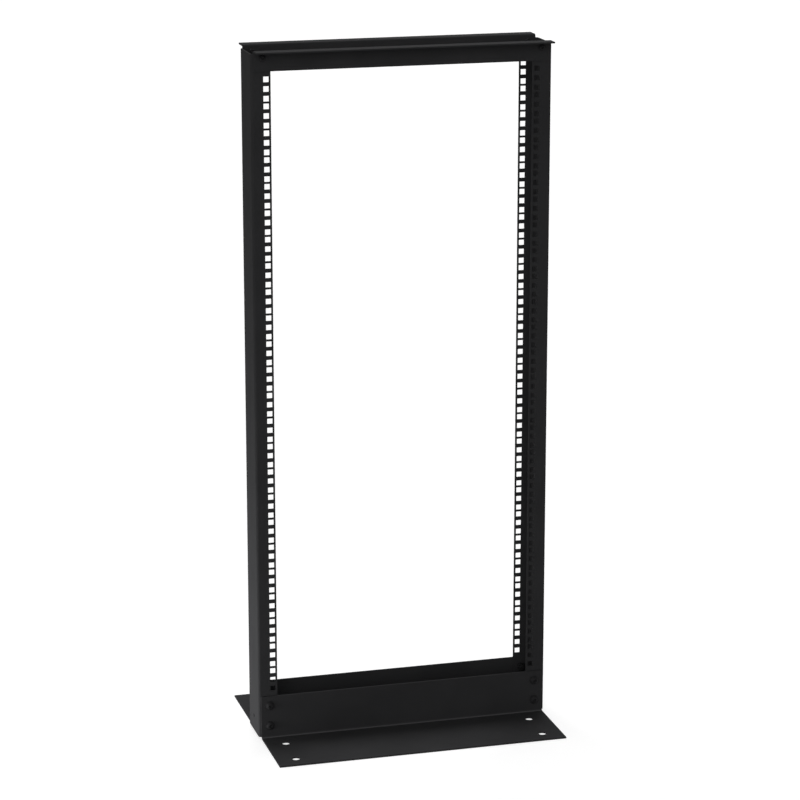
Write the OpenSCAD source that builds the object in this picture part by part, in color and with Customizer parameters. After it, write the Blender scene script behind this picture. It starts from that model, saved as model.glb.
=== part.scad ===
// Two-post open frame rack for 19 inch equipment.
// Two channel-section uprights stand between a pair of base angles and carry
// a pair of top angles. All pieces are sheet steel, punched and folded.
// Origin: on the floor, at the centre of the footprint. +X right, +Y back, +Z up.

/* [Equipment space] */
// Number of rack units between the base and top angles
rack_units = 24; // [6:1:45]
// Height of one rack unit
unit_pitch = 44.45; // [40:0.05:50]
// Clear width between the inner edges of the flanges
clear_width = 450; // [440:0.5:600]
// Distance of the hole centres from a flange's inner edge
hole_edge_distance = 7.55; // [6.5:0.05:9.5]
// Side of a square cage-nut hole
square_hole = 9.5; // [9:0.1:10]
// Height of the lowest hole centre above the floor
first_hole_height = 90.5; // [88:0.5:110]
// Height of the rack's top above the highest hole centre
top_margin = 47.5; // [44:0.5:60]

/* [Uprights] */
// Width of an upright's flanges, from the web's outer face
flange_width = 33.3; // [28:0.1:50]
// Depth of an upright, from front flange to rear flange
upright_depth = 76.2; // [60:0.2:150]
// Sheet thickness of the uprights
upright_sheet = 2.5; // [1.5:0.1:3]
// Inside radius of the folds in the uprights
upright_fold = 2; // [1:0.25:3]
// Height of the uprights' lower ends above the floor
upright_foot_gap = 3; // [1:0.5:6]
// Distance of the uprights' upper ends below the rack's top
upright_head_gap = 5.5; // [2:0.5:8]
// Diameter of the earth-bonding hole in each upright's web
bond_hole = 7; // [4:0.5:9]
// Height of the bonding hole above the floor
bond_hole_height = 29.5; // [20:0.5:60]

/* [Base angles] */
// Height of a base angle's standing leg
base_leg_height = 77; // [70:0.2:82]
// Reach of a base angle's floor leg, measured from the upright
base_leg_reach = 139.7; // [90:0.1:250]
// Sheet thickness of the base angles
base_sheet = 2.5; // [1.5:0.1:3]
// Inside radius of the fold in a base angle
base_fold = 4; // [1:0.25:5]
// Distance of a base angle's ends inside the uprights' outer faces
base_end_inset = 4; // [0:0.1:8]
// Diameter of the floor anchor holes
anchor_hole = 14; // [10:0.5:18]
// Distance of an anchor hole from the end of its base angle
anchor_end_distance = 34.7; // [20:0.1:60]
// Distance of the outer anchor holes from the floor leg's free edge
anchor_edge_distance = 28.2; // [20:0.1:35]
// Distance between the outer and inner anchor holes
anchor_spacing = 74; // [30:0.1:80]

/* [Top angles] */
// Height of a top angle's hanging leg
top_leg_height = 34.2; // [30:0.2:36]
// Reach of a top angle's level leg, measured from the upright
top_leg_reach = 28.6; // [20:0.1:60]
// Sheet thickness of the top angles
top_sheet = 2.5; // [1.5:0.1:3]
// Inside radius of the fold in a top angle
top_fold = 2; // [1:0.25:3]
// Distance of a top angle's ends inside the uprights' outer faces
top_end_inset = 4; // [0:0.1:8]

/* [Bolt holes] */
// Diameter of the clearance holes for the base bolts
base_bolt_hole = 9; // [8:0.1:11]
// Diameter of the clearance holes for the top bolts
top_bolt_hole = 6.6; // [5:0.1:7]
// Distance of every frame bolt from the uprights' outer faces
frame_bolt_inset = 19; // [16:0.1:22]
// Height of the lower base bolts above the floor
base_bolt_height = 24; // [18:0.5:28]
// Distance between the lower and upper base bolts
base_bolt_spacing = 36; // [24:0.5:38]
// Distance of the top bolts below the rack's top
top_bolt_depth = 12; // [10:0.2:20]

/* [Hidden] */
$fn = 64;

// Hole heights inside one rack unit, from the unit's lowest hole: steps of 5, 5 and
// 4 fourteenths of a unit, which are 15.875, 15.875 and 12.7 mm in a 44.45 mm unit
hole_steps = [0, 5, 10] * unit_pitch / 14;
last_hole_height = first_hole_height + (rack_units - 1) * unit_pitch + hole_steps[2];
rack_height = last_hole_height + top_margin;

column_pitch = clear_width + 2 * hole_edge_distance;
upright_span = clear_width + 2 * flange_width;
upright_bottom = upright_foot_gap;
upright_top = rack_height - upright_head_gap;
upright_length = upright_top - upright_bottom;

base_length = upright_span - 2 * base_end_inset;
top_length = upright_span - 2 * top_end_inset;
bolt_x = upright_span / 2 - frame_bolt_inset;
base_bolt_heights = [base_bolt_height, base_bolt_height + base_bolt_spacing];
top_bolt_height = rack_height - top_bolt_depth;
anchor_x = base_length / 2 - anchor_end_distance;
anchor_far = base_leg_reach - anchor_edge_distance;
anchor_reaches = [anchor_far - anchor_spacing, anchor_far];

// How far a cutter runs past the sheet that it cuts
over = 5;
steel = [0.12, 0.12, 0.13];

// Material outside a quarter-round corner of radius r, in the corner at the origin
module corner_waste(r) {
    difference() {
        square(r);
        translate([r, r]) circle(r);
    }
}

// Section of a folded angle: legs along +x and +y, heel at the origin
module angle_section(x_leg, y_leg, sheet, fold) {
    difference() {
        square([x_leg, y_leg]);
        corner_waste(fold + sheet);
        translate([sheet, sheet]) difference() {
            square([x_leg, y_leg]);
            corner_waste(fold);
        }
    }
}

// Section of a folded channel: web along y, both flanges towards +x
module channel_section(depth, flange, sheet, fold) {
    inner_depth = depth - 2 * sheet;
    difference() {
        square([flange, depth]);
        corner_waste(fold + sheet);
        translate([0, depth]) mirror([0, 1]) corner_waste(fold + sheet);
        translate([sheet, sheet]) difference() {
            square([flange, inner_depth]);
            corner_waste(fold);
            translate([0, inner_depth]) mirror([0, 1]) corner_waste(fold);
        }
    }
}

// Square cage-nut holes, three to a rack unit, cut through both flanges
module rail_holes(depth) {
    for (unit = [0 : rack_units - 1], step = hole_steps)
        translate([0, 0, first_hole_height + unit * unit_pitch + step])
            cube([square_hole, depth + 2 * over, square_hole], center = true);
}

// Round holes along Y at x, one for each height
module cross_holes(x, heights, diameter, length) {
    for (height = heights)
        translate([x, 0, height])
            rotate([90, 0, 0])
                cylinder(d = diameter, h = length, center = true);
}

// One upright, with its web at the left end of the rack
module upright() {
    outer_x = -upright_span / 2;
    color(steel) difference() {
        translate([outer_x, -upright_depth / 2, upright_bottom])
            linear_extrude(height = upright_length)
                channel_section(upright_depth, flange_width, upright_sheet, upright_fold);
        translate([-column_pitch / 2, 0, 0]) rail_holes(upright_depth);
        cross_holes(-bolt_x, base_bolt_heights, base_bolt_hole, upright_depth + 2 * over);
        cross_holes(-bolt_x, [top_bolt_height], top_bolt_hole, upright_depth + 2 * over);
        translate([outer_x, 0, bond_hole_height])
            rotate([0, 90, 0])
                cylinder(d = bond_hole, h = 2 * over, center = true);
    }
}

module left_upright() {
    upright();
}

module right_upright() {
    mirror([1, 0, 0]) upright();
}

// Base angle in front of the uprights: one leg stands against the flanges,
// the other lies on the floor and points outwards
module base_angle() {
    color(steel) difference() {
        translate([-base_length / 2, -upright_depth / 2, 0])
            rotate([90, 0, 90])
                linear_extrude(height = base_length)
                    mirror([1, 0])
                        angle_section(base_leg_reach, base_leg_height, base_sheet, base_fold);
        for (side = [-1, 1]) {
            translate([0, -upright_depth / 2, 0])
                cross_holes(side * bolt_x, base_bolt_heights, base_bolt_hole, 2 * over);
            for (reach = anchor_reaches)
                translate([side * anchor_x, -upright_depth / 2 - reach, 0])
                    cylinder(d = anchor_hole, h = 2 * over, center = true);
        }
    }
}

module front_base_angle() {
    base_angle();
}

module rear_base_angle() {
    mirror([0, 1, 0]) base_angle();
}

// Top angle in front of the uprights: one leg hangs against the flanges,
// the other is level with the rack's top and points outwards
module top_angle() {
    color(steel) difference() {
        translate([-top_length / 2, -upright_depth / 2, rack_height])
            rotate([90, 0, 90])
                linear_extrude(height = top_length)
                    mirror([1, 0]) mirror([0, 1])
                        angle_section(top_leg_reach, top_leg_height, top_sheet, top_fold);
        translate([0, -upright_depth / 2, 0])
            for (side = [-1, 1])
                cross_holes(side * bolt_x, [top_bolt_height], top_bolt_hole, 2 * over);
    }
}

module front_top_angle() {
    top_angle();
}

module rear_top_angle() {
    mirror([0, 1, 0]) top_angle();
}

left_upright();
right_upright();
front_base_angle();
rear_base_angle();
front_top_angle();
rear_top_angle();
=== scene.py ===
"""Looks of the two-post open frame rack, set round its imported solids.

The powder-coated sheet steel is the solids themselves, with a material on each. The
bolts, washers and nuts that hold them together are made here. Lengths are in metres,
apart from the fastener sizes, which are in millimetres as in a hardware table.
+X is the rack's right, +Y its back, +Z up, and the floor is at 0.
"""

import math

import bpy
import numpy as np
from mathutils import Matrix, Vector


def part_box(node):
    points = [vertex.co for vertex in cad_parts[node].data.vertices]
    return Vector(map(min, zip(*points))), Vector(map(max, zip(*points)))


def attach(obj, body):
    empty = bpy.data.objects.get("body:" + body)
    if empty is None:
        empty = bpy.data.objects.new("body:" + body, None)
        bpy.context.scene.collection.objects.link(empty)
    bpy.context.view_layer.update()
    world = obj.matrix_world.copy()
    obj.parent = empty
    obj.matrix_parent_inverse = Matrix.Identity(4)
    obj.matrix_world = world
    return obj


MM = 0.001
TAU = 2 * math.pi

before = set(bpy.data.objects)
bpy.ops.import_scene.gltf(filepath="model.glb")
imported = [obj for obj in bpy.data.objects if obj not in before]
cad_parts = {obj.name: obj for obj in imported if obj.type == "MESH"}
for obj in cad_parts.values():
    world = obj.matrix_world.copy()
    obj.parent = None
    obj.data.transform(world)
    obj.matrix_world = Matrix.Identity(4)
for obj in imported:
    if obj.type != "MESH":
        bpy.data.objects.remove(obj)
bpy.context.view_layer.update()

# Sizes that the solids' boxes don't give, as in the rack's source
SHEET = 2.5 * MM  # thickness of the uprights and of the angles alike
BASE_FOLD = 4 * MM  # inside radius of the fold in a base angle
BOLT_X = 239.3 * MM  # distance of every frame bolt from the rack's middle
LOWER_BOLT = 24 * MM  # height above the floor
UPPER_BOLT = 60 * MM  # height above the floor
TOP_BOLT_DEPTH = 12 * MM  # distance below the rack's top

# The outer face of the rear flanges, which the front ones mirror, and the rack's top
UPRIGHT_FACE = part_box("left_upright")[1].y
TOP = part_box("front_top_angle")[1].z


# ---------------------------------------------------------------- camera

CAMERA_PLACE = (-1.29961, -4.68194, 1.84724)
CAMERA_TILT_DOWN = 14.640  # degrees below level
CAMERA_TURN = 15.571  # degrees to the right of straight ahead
CAMERA_LENS = 131.86  # mm
SENSOR_WIDTH = 36.0  # mm

lens = bpy.data.cameras.new("camera")
lens.lens = CAMERA_LENS
lens.sensor_width = SENSOR_WIDTH
lens.clip_start, lens.clip_end = 0.1, 200.0
camera = bpy.data.objects.new("camera", lens)
camera.location = CAMERA_PLACE
camera.rotation_euler = (
    math.radians(90 - CAMERA_TILT_DOWN), 0.0, math.radians(-CAMERA_TURN)
)
bpy.context.scene.collection.objects.link(camera)
bpy.context.scene.camera = camera
bpy.context.scene.view_settings.view_transform = "Standard"


# ---------------------------------------------------------------- materials

def linear(hex_colour):
    """The linear red, green, blue and alpha of an sRGB colour written as #rrggbb."""
    srgb = np.array([int(hex_colour[i:i + 2], 16) for i in (1, 3, 5)]) / 255
    low, high = srgb / 12.92, ((srgb + 0.055) / 1.055) ** 2.4
    return (*np.where(srgb <= 0.04045, low, high).tolist(), 1.0)


def add(tree, kind, inputs=None, **settings):
    """Adds a node of that kind. settings are its properties; inputs gives each socket,
    by name or number, either a value or the output socket that feeds it."""
    made = tree.nodes.new(kind)
    for name, value in settings.items():
        setattr(made, name, value)
    for socket, value in (inputs or {}).items():
        if isinstance(value, bpy.types.NodeSocket):
            tree.links.new(value, made.inputs[socket])
        else:
            made.inputs[socket].default_value = value
    return made


def new_material(name):
    """An empty node material and its tree."""
    material = bpy.data.materials.new(name)
    material.use_nodes = True
    material.node_tree.nodes.clear()
    return material, material.node_tree


def per_metre(wavelength_mm):
    """The noise scale whose features are about that many millimetres apart."""
    return 1 / (wavelength_mm * MM)


def ramped(tree, source, low, high):
    """source, which runs from about 0.3 to 0.7 as noise does, spread from low to high."""
    return add(tree, "ShaderNodeMapRange", {
        "Value": source, "From Min": 0.3, "From Max": 0.7, "To Min": low, "To Max": high,
    }).outputs["Result"]


def blended(tree, share, first, second):
    """A colour between two, each an sRGB hex colour or a socket: all first where share
    is 0, second at 1. Inputs 6 and 7 of a Mix node are its colours, output 2 their mix."""
    first, second = (
        linear(colour) if isinstance(colour, str) else colour for colour in (first, second)
    )
    return add(tree, "ShaderNodeMix", {
        "Factor": share, 6: first, 7: second,
    }, data_type="RGBA").outputs[2]


# Where a highlight is painted into the coat's colour: a line 70 degrees round a base
# angle's inside fold from the standing leg. Its last two numbers are its distance from
# the rack's middle plane and its height. The painted highlight is full up to 0.8 mm from the
# line and gone from 2.4 mm.
HIGHLIGHT_AT = math.radians(70)
HIGHLIGHT_LINE = (
    0,
    UPRIGHT_FACE + SHEET + BASE_FOLD * (1 - math.cos(HIGHLIGHT_AT)),
    SHEET + BASE_FOLD * (1 - math.sin(HIGHLIGHT_AT)),
)
HIGHLIGHT_CORE = 0.8 * MM
HIGHLIGHT_REACH = 2.4 * MM


def painted_fold_highlight(tree, place):
    """1 along a line in the base angles' inside folds, 0 from 2.4 mm away: the mask of a
    painted highlight, a pale line that stands in for light caught in the fold."""
    mirrored = add(tree, "ShaderNodeVectorMath", {0: place}, operation="ABSOLUTE")
    across = add(tree, "ShaderNodeVectorMath", {
        0: mirrored.outputs["Vector"], 1: (0, 1, 1),
    }, operation="MULTIPLY")
    away = add(tree, "ShaderNodeVectorMath", {
        0: across.outputs["Vector"], 1: HIGHLIGHT_LINE,
    }, operation="DISTANCE")
    return add(tree, "ShaderNodeMapRange", {
        "Value": away.outputs["Value"], "From Min": HIGHLIGHT_REACH, "From Max": HIGHLIGHT_CORE,
    }, interpolation_type="SMOOTHSTEP").outputs["Result"]


def powder_coated_steel():
    """Satin black polyester powder coat, baked on phosphated sheet steel. To the eye it
    is an even soft black with a broad dull sheen, and close up a fine orange peel. Along
    the base angles' folds a painted highlight, a fine pale grey line in the colour, stands
    in for light caught in the fold."""
    material, tree = new_material("satin_black_powder_coat")
    place = add(tree, "ShaderNodeTexCoord").outputs["Object"]
    # Film thickness drifts over about a hand's width: the black and its sheen drift too
    drift = add(tree, "ShaderNodeTexNoise", {
        "Vector": place, "Scale": per_metre(90), "Detail": 2.0, "Roughness": 0.5,
    }).outputs["Fac"]
    # Orange peel of 1 to 2 mm, drawn at 3 mm so that it shows
    peel = add(tree, "ShaderNodeTexNoise", {
        "Vector": place, "Scale": per_metre(3), "Detail": 2.0, "Roughness": 0.55,
    }).outputs["Fac"]
    black = blended(tree, ramped(tree, drift, 0.0, 1.0), "#2f2f30", "#343435")
    # Painted highlight: a pale grey line mixed into the black along the base angles' inside
    # folds
    colour = blended(tree, painted_fold_highlight(tree, place), black, "#515152")
    bump = add(tree, "ShaderNodeBump", {
        "Height": peel, "Strength": 0.4, "Distance": 0.04 * MM,
    })
    shader = add(tree, "ShaderNodeBsdfPrincipled", {
        "Base Color": colour,
        "Metallic": 0.0,
        "Roughness": ramped(tree, drift, 0.83, 0.89),
        "IOR": 1.5,
        "Specular IOR Level": 0.02,
        "Normal": bump.outputs["Normal"],
    })
    add(tree, "ShaderNodeOutputMaterial", {"Surface": shader.outputs["BSDF"]})
    return material


def black_oxide_steel():
    """Alloy steel fasteners with a black oxide finish, nearly dry of its oil. To the eye
    it is a slightly darker black than the coat round it, and a little smoother."""
    material, tree = new_material("black_oxide_steel")
    place = add(tree, "ShaderNodeTexCoord").outputs["Object"]
    # Patches of thinner oxide, about 4 mm across
    patches = add(tree, "ShaderNodeTexNoise", {
        "Vector": place, "Scale": per_metre(4), "Detail": 3.0, "Roughness": 0.6,
    }).outputs["Fac"]
    # Grain of the forged blank, 0.3 mm across, which shows only close up
    grain = add(tree, "ShaderNodeTexNoise", {
        "Vector": place, "Scale": per_metre(0.3), "Detail": 1.0, "Roughness": 0.5,
    }).outputs["Fac"]
    colour = blended(tree, ramped(tree, patches, 0.0, 1.0), "#202021", "#29292a")
    bump = add(tree, "ShaderNodeBump", {
        "Height": grain, "Strength": 0.3, "Distance": 0.01 * MM,
    })
    shader = add(tree, "ShaderNodeBsdfPrincipled", {
        "Base Color": colour,
        "Metallic": 0.0,
        "Roughness": ramped(tree, patches, 0.6, 0.7),
        "Specular IOR Level": 0.05,
        "Normal": bump.outputs["Normal"],
    })
    add(tree, "ShaderNodeOutputMaterial", {"Surface": shader.outputs["BSDF"]})
    return material


coat = powder_coated_steel()
oxide = black_oxide_steel()
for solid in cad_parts.values():
    solid.data.materials.clear()
    solid.data.materials.append(coat)


# ---------------------------------------------------------------- fasteners

COLUMNS = 48  # points round a fastener, a multiple of 12 so that hexagons keep corners
AROUND = TAU * np.arange(COLUMNS) / COLUMNS
THREAD_ROWS = 6  # rows to one pitch of a thread
DOME_ROWS = 9  # rows over a bolt's head
# Rows down a nut's side, as distances in mm from each face, close where the cone curves
NUT_ROWS = np.array([0, 0.12, 0.3, 0.5, 0.75, 1.1])


def surface(name, radii, heights, looped=False):
    """A mesh from a profile carried round the Z axis. Row i of the profile lies at
    heights[i] and is radii[i] wide, which may differ from column to column: a point is
    (radius cos angle, radius sin angle, height). With looped the last row joins the
    first, as on a washer. Otherwise both end rows have no radius and become one point
    each, closed by a fan. The sign of the enclosed volume turns the faces outwards."""
    radii = np.array([np.broadcast_to(r, COLUMNS) for r in radii], float)
    heights = np.array([np.broadcast_to(h, COLUMNS) for h in heights], float)
    grid = np.stack([radii * np.cos(AROUND), radii * np.sin(AROUND), heights], -1)
    here = np.arange(COLUMNS)
    beside = np.roll(here, -1)
    if looped:
        points = grid.reshape(-1, 3)
        low = np.arange(len(grid))[:, None] * COLUMNS
        high = np.roll(low, -1, axis=0)
        fans = np.zeros((0, 3), int)
    else:
        points = np.vstack([grid[0, :1], grid[1:-1].reshape(-1, 3), grid[-1, :1]])
        low = 1 + np.arange(len(grid) - 3)[:, None] * COLUMNS
        high = low + COLUMNS
        tip, end = np.zeros_like(here), np.full_like(here, len(points) - 1)
        fans = np.vstack([np.stack([tip, 1 + beside, 1 + here], 1),
                          np.stack([high[-1] + here, high[-1] + beside, end], 1)])
    quads = np.stack([low + here, low + beside, high + beside, high + here], -1)
    quads = quads.reshape(-1, 4)
    triangles = points[np.vstack([quads[:, :3], quads[:, [0, 2, 3]], fans])]
    if np.linalg.det(triangles).sum() < 0:
        quads, fans = quads[:, ::-1], fans[:, ::-1]
    mesh = bpy.data.meshes.new(name)
    mesh.from_pydata((points * MM).tolist(), [], quads.tolist() + fans.tolist())
    return mesh


def hexagon(across_flats):
    """The radius of a hexagon at each column: its half width over the cosine of the
    angle from the nearest flat's middle."""
    return across_flats / 2 / np.cos((AROUND + TAU / 12) % (TAU / 6) - TAU / 12)


def socket_bolt(name, thread, pitch, length, head_width, head_height, key, key_depth):
    """A button-head bolt with a hexagon socket. The head's underside is at height 0.
    The profile runs from the point up the thread, out under the head, over the dome,
    which is an arc about the axis, and down the socket. The thread is a triangle wave
    of the height plus the share of a turn, with a chamfered point."""
    crest = thread / 2
    depth = 0.6 * pitch
    thread_end, shank_start = -0.5 * pitch, -0.4 * pitch
    rises = np.arange(0, length + thread_end, pitch / THREAD_ROWS)
    turn = (rises[:, None] / pitch + AROUND / TAU) % 1
    threads = np.minimum(crest - depth * abs(2 * turn - 1),
                         crest - depth + rises[:, None])
    wide, broken_edge = head_width / 2, 0.25
    # The dome starts at height rim, where the head is widest, and ends at radius flat
    rim = 0.18 * head_height
    flat = key / math.sqrt(3) + 0.35
    middle = (flat**2 + head_height**2 - wide**2 - rim**2) / (2 * (head_height - rim))
    arc = np.linspace(0, 1, DOME_ROWS)
    dome = rim + (head_height - rim) * np.sin(arc * TAU / 4)
    dome_radii = np.sqrt(wide**2 + (rim - middle) ** 2 - (dome - middle) ** 2)
    mouth_depth, drill_cone = 0.3, 0.15 * key
    socket_floor = head_height - key_depth
    radii = [0, *threads, crest, crest, wide - broken_edge, wide, *dome_radii,
             hexagon(key), hexagon(key), 0]
    heights = [-length, *(rises - length), shank_start, 0, 0, broken_edge, *dome,
               head_height - mouth_depth, socket_floor, socket_floor - drill_cone]
    return surface(name, radii, heights)


def washer(name, hole, width, thickness):
    """A flat washer standing on height 0: a rectangle with broken edges, carried round."""
    edge = 0.12 * thickness
    inner, outer = hole / 2, width / 2
    radii = [inner, inner + edge, outer - edge, outer, outer, outer - edge,
             inner + edge, inner]
    heights = [edge, 0, 0, edge, thickness - edge, thickness, thickness,
               thickness - edge]
    return surface(name, radii, heights, looped=True)


def nut(name, thread, pitch, across_flats, height):
    """A hexagon nut standing on height 0. Its side is the smaller of the hexagon and a
    30 degree cone from each face, which leaves the rounded arcs at the corners."""
    face = 0.475 * across_flats
    side = np.concatenate([NUT_ROWS, height - NUT_ROWS[::-1]])
    cone = face + np.minimum(side, height - side) * math.sqrt(3)
    sides = np.minimum(hexagon(across_flats), cone[:, None])
    # The bore reaches into the depth of the bolt's thread, and both its ends are flared
    bore = thread / 2 - 0.35 * pitch
    mouth, mouth_depth = thread / 2 + 0.3, 0.8
    radii = [mouth, *sides, mouth, bore, bore]
    heights = [0, *side, height, height - mouth_depth, mouth_depth]
    return surface(name, radii, heights, looped=True)


def seat(mesh, turn, outwards, x, y, z):
    """Turns a fastener about its own axis by turn degrees, points its axis towards
    outwards (-1 the front, 1 the back) and moves its height 0 to x, y, z."""
    points = np.empty(len(mesh.vertices) * 3)
    mesh.vertices.foreach_get("co", points)
    points = points.reshape(-1, 3)
    cos, sin = math.cos(math.radians(turn)), math.sin(math.radians(turn))
    across = points[:, 0] * cos - points[:, 1] * sin
    upwards = points[:, 0] * sin + points[:, 1] * cos
    placed = np.stack([x - outwards * across, y + outwards * points[:, 2], z + upwards], 1)
    mesh.vertices.foreach_set("co", placed.ravel())
    mesh.update()
    piece = bpy.data.objects.new(mesh.name, mesh)
    bpy.context.scene.collection.objects.link(piece)
    mesh.materials.append(oxide)
    mesh.shade_flat()
    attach(piece, "root")


WASHER_THICKNESS = 1.6
M6 = {
    "washer": dict(hole=6.4, width=12, thickness=WASHER_THICKNESS),
    "bolt": dict(thread=6, pitch=1.0, length=14, head_width=10.5, head_height=3.3,
                 key=4, key_depth=2.0),
    "nut": dict(thread=6, pitch=1.0, across_flats=10, height=5),
}
M8 = {
    "washer": dict(hole=8.4, width=16, thickness=WASHER_THICKNESS),
    "bolt": dict(thread=8, pitch=1.25, length=16, head_width=14, head_height=4.4,
                 key=5, key_depth=2.6),
    "nut": dict(thread=8, pitch=1.25, across_flats=13, height=6.5),
}
# Each level's fastener size and height
LEVELS = {
    "lower": (M8, LOWER_BOLT),
    "upper": (M8, UPPER_BOLT),
    "top": (M6, TOP - TOP_BOLT_DEPTH),
}
OUTSIDE = UPRIGHT_FACE + SHEET  # the angles' faces, where the washers sit
INSIDE = UPRIGHT_FACE - SHEET  # the flanges' inner faces, where the nuts sit
UNDER_HEAD = OUTSIDE + WASHER_THICKNESS * MM

# How far each bolt and nut happens to be turned, in degrees
turns = iter([12, 41, 5, 33, 52, 20, 8, 47, 27, 15, 38, 56] * 2)
for end, outwards in (("front", -1), ("rear", 1)):
    for hand, side in (("left", -1), ("right", 1)):
        for level, (size, z) in LEVELS.items():
            name = f"{end}_{hand}_{level}"
            x = side * BOLT_X
            ring = washer(name + "_washer", **size["washer"])
            bolt = socket_bolt(name + "_bolt", **size["bolt"])
            hex_nut = nut(name + "_nut", **size["nut"])
            seat(ring, 0, outwards, x, outwards * OUTSIDE, z)
            seat(bolt, next(turns), outwards, x, outwards * UNDER_HEAD, z)
            seat(hex_nut, next(turns), -outwards, x, outwards * INSIDE, z)


# ---------------------------------------------------------------- studio

def sun(name, to_the_right, above, strength, spread):
    """A soft lamp far away. Seen from the rack it stands to_the_right degrees round
    from straight in front and above degrees up; spread is its width in degrees."""
    lamp = bpy.data.lights.new(name, "SUN")
    lamp.energy = strength
    lamp.angle = math.radians(spread)
    piece = bpy.data.objects.new(name, lamp)
    piece.rotation_euler = (math.radians(90 - above), 0, math.radians(to_the_right))
    bpy.context.scene.collection.objects.link(piece)


sun("top_light", to_the_right=172, above=50, strength=2.15, spread=40)
sun("front_light", to_the_right=-20, above=22, strength=0.9, spread=40)


def softbox(name, place, towards, wide, tall, power):
    """A rectangular lamp of that power in watts at place, pointing at towards. No view
    shows the lamp itself."""
    lamp = bpy.data.lights.new(name, "AREA")
    lamp.shape = "RECTANGLE"
    lamp.size, lamp.size_y = wide, tall
    lamp.energy = power
    piece = bpy.data.objects.new(name, lamp)
    piece.location = place
    aim = Vector(towards) - Vector(place)
    piece.rotation_euler = aim.to_track_quat("-Z", "Y").to_euler()
    piece.visible_camera = False
    bpy.context.scene.collection.objects.link(piece)


# Stands beside the foot of the left web, which is the palest part of the rack
softbox("low_side_light", place=(-0.82, 0.05, 0.06), towards=(-0.25, 0.0, 0.06),
        wide=0.7, tall=0.1, power=5.3)

FLOOR_REACH = 60.0  # from the rack to each edge of the floor
floor_mesh = bpy.data.meshes.new("floor")
floor_mesh.from_pydata(
    [(x * FLOOR_REACH, y * FLOOR_REACH, 0) for x, y in ((-1, -1), (1, -1), (1, 1), (-1, 1))],
    [], [(0, 1, 2, 3)],
)
floor = bpy.data.objects.new("floor", floor_mesh)
bpy.context.scene.collection.objects.link(floor)


def looked_at(tree):
    """1 for a ray from the camera, a reflection or clear glass, 0 for one that gathers
    soft light."""
    path = add(tree, "ShaderNodeLightPath")
    seen = path.outputs["Is Camera Ray"]
    for ray in ("Is Glossy Ray", "Is Transmission Ray"):
        seen = add(tree, "ShaderNodeMath", {0: seen, 1: path.outputs[ray]},
                   operation="MAXIMUM").outputs["Value"]
    return seen


# Matt studio floor, light grey to the soft light that it throws back. Where it is looked
# at a glow lifts it to white, and the rack's shadow stays on it.
FLOOR_GLOW = 0.66
matt, tree = new_material("matt_studio_floor")
diffuse = add(tree, "ShaderNodeBsdfDiffuse", {"Color": linear("#b8b8b8")})
glow = add(tree, "ShaderNodeEmission", {
    "Color": linear("#ffffff"),
    "Strength": add(tree, "ShaderNodeMath", {0: looked_at(tree), 1: FLOOR_GLOW},
                    operation="MULTIPLY").outputs["Value"],
})
both = add(tree, "ShaderNodeAddShader", {
    0: diffuse.outputs["BSDF"], 1: glow.outputs["Emission"],
})
add(tree, "ShaderNodeOutputMaterial", {"Surface": both.outputs["Shader"]})
floor_mesh.materials.append(matt)

# The room is dim round the walls and paler overhead, and white where it is looked at
world = bpy.data.worlds.new("studio")
bpy.context.scene.world = world
world.use_nodes = True
sky = world.node_tree
sky.nodes.clear()
direction = add(sky, "ShaderNodeTexCoord").outputs["Generated"]
height = add(sky, "ShaderNodeSeparateXYZ", {"Vector": direction}).outputs["Z"]
overhead = add(sky, "ShaderNodeMapRange", {
    "Value": height, "From Min": 0.0, "From Max": 0.5,
}).outputs["Result"]
room = blended(sky, overhead, "#303030", "#707070")
background = add(sky, "ShaderNodeBackground", {
    "Color": blended(sky, looked_at(sky), room, "#ffffff"), "Strength": 1.0,
})
add(sky, "ShaderNodeOutputWorld", {"Surface": background.outputs["Background"]})
